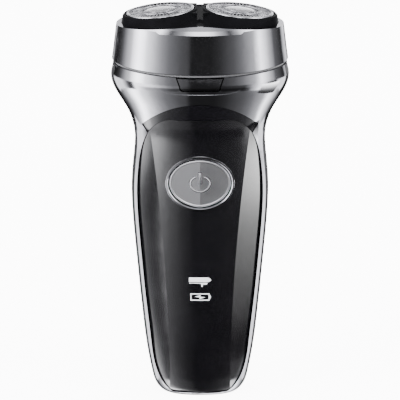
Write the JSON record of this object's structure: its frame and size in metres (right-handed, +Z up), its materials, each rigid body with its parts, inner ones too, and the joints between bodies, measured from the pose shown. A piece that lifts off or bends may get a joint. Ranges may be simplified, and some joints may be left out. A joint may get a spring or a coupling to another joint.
{
  "type": "electric shaver",
  "caption": "Cordless rotary electric shaver with a hinged twin-cutter head, plated collar and rails, glossy front panel and oval power button.",
  "frame": {"origin": "middle of the flat foot that the shaver stands on", "axes": "+Z up the handle to the cutters, -Y the front with the power button, +X to the right seen from the front"},
  "size_m": [0.064, 0.0489, 0.1419],
  "materials": {
    "plated_dark": "dark plated mirror gloss",
    "gloss_black": "piano gloss",
    "case_black": "fine satin",
    "rubber_black": "ribbed matt",
    "button_metal": "spun satin",
    "bright_chrome": "mirror gloss",
    "icon_white": "clear window over a white mask",
    "cutter_steel": "finely brushed",
    "seal_grey": "smooth",
    "spring_steel": "bright",
    "inner_plastic": "moulded",
    "gear_plastic": "acetal",
    "motor_can": "drawn can",
    "cell_wrap": "shrink sleeve",
    "board_green": "solder mask",
    "light_pipe": "clear acrylic",
    "led_white": "resin",
    "brass_pin": "plated"
  },
  "bodies": {
    "handle": {"chrome_frame": "plated_dark", "front_panel": "gloss_black", "brow_panel": "gloss_black", "back_shell": "case_black", "grip_pad": "rubber_black", "charge_lens": "icon_white", "battery_lens": "icon_white", "button_bezel": "bright_chrome", "release_spring": "spring_steel", "parting_seal": "seal_grey", "hinge_pin": "spring_steel", "gear_deck": "case_black", "deck_screws": "spring_steel", "gear_plate": "inner_plastic", "gear_posts": "spring_steel", "motor": "motor_can", "chassis": "inner_plastic", "battery_cell": "cell_wrap", "battery_tabs": "spring_steel", "circuit_board": "board_green", "tact_switch": "case_black", "indicator_leds": "led_white", "light_guide": "light_pipe", "charge_socket": "case_black", "socket_pins": "brass_pin"},
    "head": {"head_band": "plated_dark", "head_cover": "gloss_black", "cutter_retainer": "case_black"},
    "retainer_lock": {"retainer_knob": "gloss_black"},
    "power_key": {"power_button": "button_metal", "power_symbol": "bright_chrome"},
    "release_key": {"release_button": "plated_dark"},
    "motor_rotor": {"motor_shaft": "spring_steel", "motor_pinion": "brass_pin"},
    "drive_left": {"drive_gear_left": "gear_plastic", "spindle_left": "gear_plastic"},
    "float_left": {"cutter_cap_left": "cutter_steel", "cap_trim_left": "bright_chrome"},
    "cutter_left": {"blade_left": "cutter_steel"},
    "drive_right": {"drive_gear_right": "gear_plastic", "spindle_right": "gear_plastic"},
    "float_right": {"cutter_cap_right": "cutter_steel", "cap_trim_right": "bright_chrome"},
    "cutter_right": {"blade_right": "cutter_steel"}
  },
  "joints": [
    {"name": "head_hinge", "type": "hinge", "parent": "handle", "child": "head", "pos_m": [0, 0.024, 0.1216], "axis": [-1, 0, 0], "range_deg": [0, 95]},
    {"name": "retainer_turn", "type": "hinge", "parent": "head", "child": "retainer_lock", "pos_m": [0, 0, 0.133], "axis": [0, 0, 1], "range_deg": [0, 90]},
    {"name": "power_press", "type": "slide", "parent": "handle", "child": "power_key", "axis": [0, 1, 0], "range_m": [0, 0.0008], "stiffness_N_per_m": 800, "springref_m": -0.0006},
    {"name": "release_press", "type": "slide", "parent": "handle", "child": "release_key", "axis": [0, 1, 0], "range_m": [0, 0.0012], "stiffness_N_per_m": 800, "springref_m": -0.0006},
    {"name": "float_left", "type": "slide", "parent": "head", "child": "float_left", "axis": [-0.0976, 0, 0.9952], "range_m": [-0.001, 0], "stiffness_N_per_m": 800, "springref_m": 0.001},
    {"name": "spindle_spin_left", "type": "hinge", "parent": "handle", "child": "drive_left", "pos_m": [-0.01425, 0, 0.113], "axis": [0, 0, 1], "continuous": true},
    {"name": "cutter_spin_left", "type": "hinge", "parent": "float_left", "child": "cutter_left", "pos_m": [-0.01425, 0, 0.1408], "axis": [-0.0976, 0, 0.9952], "continuous": true},
    {"name": "float_right", "type": "slide", "parent": "head", "child": "float_right", "axis": [0.0976, 0, 0.9952], "range_m": [-0.001, 0], "stiffness_N_per_m": 800, "springref_m": 0.001},
    {"name": "spindle_spin_right", "type": "hinge", "parent": "handle", "child": "drive_right", "pos_m": [0.01425, 0, 0.113], "axis": [0, 0, 1], "continuous": true},
    {"name": "cutter_spin_right", "type": "hinge", "parent": "float_right", "child": "cutter_right", "pos_m": [0.01425, 0, 0.1408], "axis": [0.0976, 0, 0.9952], "continuous": true},
    {"name": "motor_spin", "type": "hinge", "parent": "handle", "child": "motor_rotor", "pos_m": [0, 0, 0.113], "axis": [0, 0, 1], "continuous": true}
  ],
  "couplings": [
    {"joint": "spindle_spin_right", "follows": "spindle_spin_left", "ratio": 1},
    {"joint": "cutter_spin_left", "follows": "spindle_spin_left", "ratio": 1},
    {"joint": "cutter_spin_right", "follows": "spindle_spin_left", "ratio": 1},
    {"joint": "motor_spin", "follows": "spindle_spin_left", "ratio": -4.7}
  ]
}
